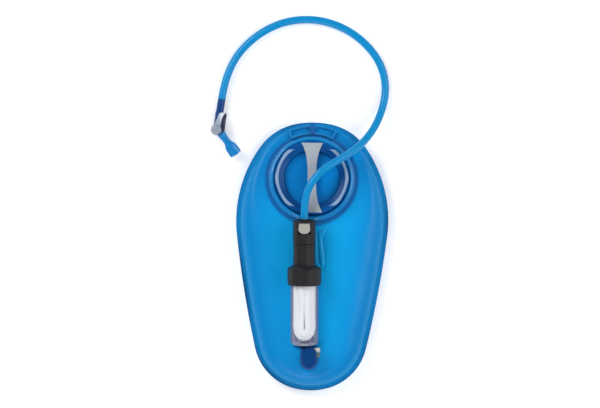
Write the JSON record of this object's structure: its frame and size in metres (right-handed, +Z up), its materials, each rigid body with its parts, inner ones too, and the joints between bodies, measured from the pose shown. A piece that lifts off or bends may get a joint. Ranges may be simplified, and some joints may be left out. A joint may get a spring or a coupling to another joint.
{
  "type": "hydration bladder",
  "caption": "Flexible drinking-water reservoir with a screw-cap fill port, in-line filter, release couplings, drinking tube, shutoff lever and bite mouthpiece.",
  "frame": {"origin": "under the middle of the bag's outline, on the surface that the bag lies on (hose and mouthpiece not counted)", "axes": "+Y from the drinking outlet towards the fill port, +Z up out of the bag's front, +X to the right seen from the front"},
  "size_m": [0.214, 0.4505, 0.0722],
  "materials": {
    "film_blue": "glossy flexible film",
    "collar_blue": "glossy moulded",
    "cap_blue": "glossy translucent moulded",
    "grip_grey": "soft-touch over-moulded",
    "pad_lilac": "soft-touch over-moulded",
    "seal_clear": "satin silicone",
    "outlet_navy": "glossy moulded",
    "button_grey": "satin moulded",
    "latch_steel": "satin",
    "spring_steel": "drawn wire",
    "valve_white": "satin moulded",
    "oring_black": "satin rubber",
    "bowl_clear": "clear smoked moulded",
    "filter_black": "fine matt moulded",
    "fibre_white": "fine hollow fibres",
    "resin_white": "cast resin",
    "hose_blue": "translucent flexible tube",
    "valve_grey": "satin moulded",
    "lever_grey": "satin moulded",
    "bite_blue": "soft silicone"
  },
  "bodies": {
    "reservoir": {"front_panel": "film_blue", "back_panel": "film_blue", "fill_collar": "collar_blue", "port_handle": "collar_blue", "outlet_base": "outlet_navy", "outlet_housing": "outlet_navy", "outlet_poppet": "valve_white", "outlet_poppet_spring": "spring_steel", "filter_inlet_plug": "filter_black", "inlet_oring": "oring_black", "filter_bowl": "bowl_clear", "filter_head": "filter_black", "head_oring": "oring_black", "potting_disc": "resin_white", "fibre_bundle": "fibre_white", "connector_body": "filter_black", "outlet_button_spring": "spring_steel", "connector_button_spring": "spring_steel", "connector_poppet_spring": "spring_steel"},
    "cap_gasket": {"cap_seal": "seal_clear"},
    "cap": {"cap_shell": "cap_blue", "cap_grip_bar": "grip_grey", "cap_grip_pads": "pad_lilac"},
    "outlet_release": {"outlet_button": "button_grey", "outlet_latch": "latch_steel"},
    "hose_release": {"hose_button": "button_grey", "connector_latch": "latch_steel"},
    "lock_ring": {"filter_ring": "filter_black"},
    "connector_valve": {"connector_poppet": "valve_white"},
    "drink_tube": {"hose": "hose_blue", "hose_plug": "filter_black", "hose_plug_oring": "oring_black", "shutoff_body": "valve_grey"},
    "shutoff": {"shutoff_lever": "lever_grey", "shutoff_spool": "valve_white", "shutoff_orings": "oring_black"},
    "mouthpiece": {"bite_valve": "bite_blue"}
  },
  "joints": [
    {"name": "cap_rise", "type": "slide", "parent": "reservoir", "child": "cap_gasket", "axis": [0.0017, 0.1236, 0.9923], "range_m": [0, 0.003]},
    {"name": "cap_turn", "type": "hinge", "parent": "cap_gasket", "child": "cap", "pos_m": [0.0003, 0.092, 0.027], "axis": [0.0017, 0.1236, 0.9923], "range_deg": [0, 90]},
    {"name": "outlet_button_press", "type": "slide", "parent": "reservoir", "child": "outlet_release", "axis": [-1, 0, 0], "range_m": [0, 0.002], "stiffness_N_per_m": 800, "springref_m": -0.001, "deforming": ["outlet_button_spring"]},
    {"name": "hose_button_press", "type": "slide", "parent": "reservoir", "child": "hose_release", "axis": [0, 0.0872, -0.9962], "range_m": [0, 0.002], "stiffness_N_per_m": 800, "springref_m": -0.001, "deforming": ["connector_button_spring"]},
    {"name": "lock_ring_turn", "type": "hinge", "parent": "reservoir", "child": "lock_ring", "pos_m": [-0.0086, -0.107, 0.044], "axis": [0, 0.9962, 0.0872], "range_deg": [0, 90]},
    {"name": "hose_pull", "type": "slide", "parent": "reservoir", "child": "drink_tube", "axis": [0, 0.9962, 0.0872], "range_m": [0, 0.018]},
    {"name": "connector_valve_close", "type": "slide", "parent": "reservoir", "child": "connector_valve", "axis": [0, 0.9962, 0.0872], "range_m": [0, 0.0028], "deforming": ["connector_poppet_spring"]},
    {"name": "shutoff_turn", "type": "hinge", "parent": "drink_tube", "child": "shutoff", "pos_m": [-0.1144, 0.1518, 0.0078], "axis": [0, 0, -1], "range_deg": [0, 90]},
    {"name": "mouthpiece_turn", "type": "hinge", "parent": "drink_tube", "child": "mouthpiece", "pos_m": [-0.113, 0.1536, 0.0078], "axis": [0.5807, -0.8141, 0], "range_deg": [-90, 90]}
  ],
  "couplings": [
    {"joint": "cap_rise", "follows": "cap_turn", "m_per_rad": 0.0019099},
    {"joint": "connector_valve_close", "follows": "hose_pull", "ratio": 0.15}
  ]
}
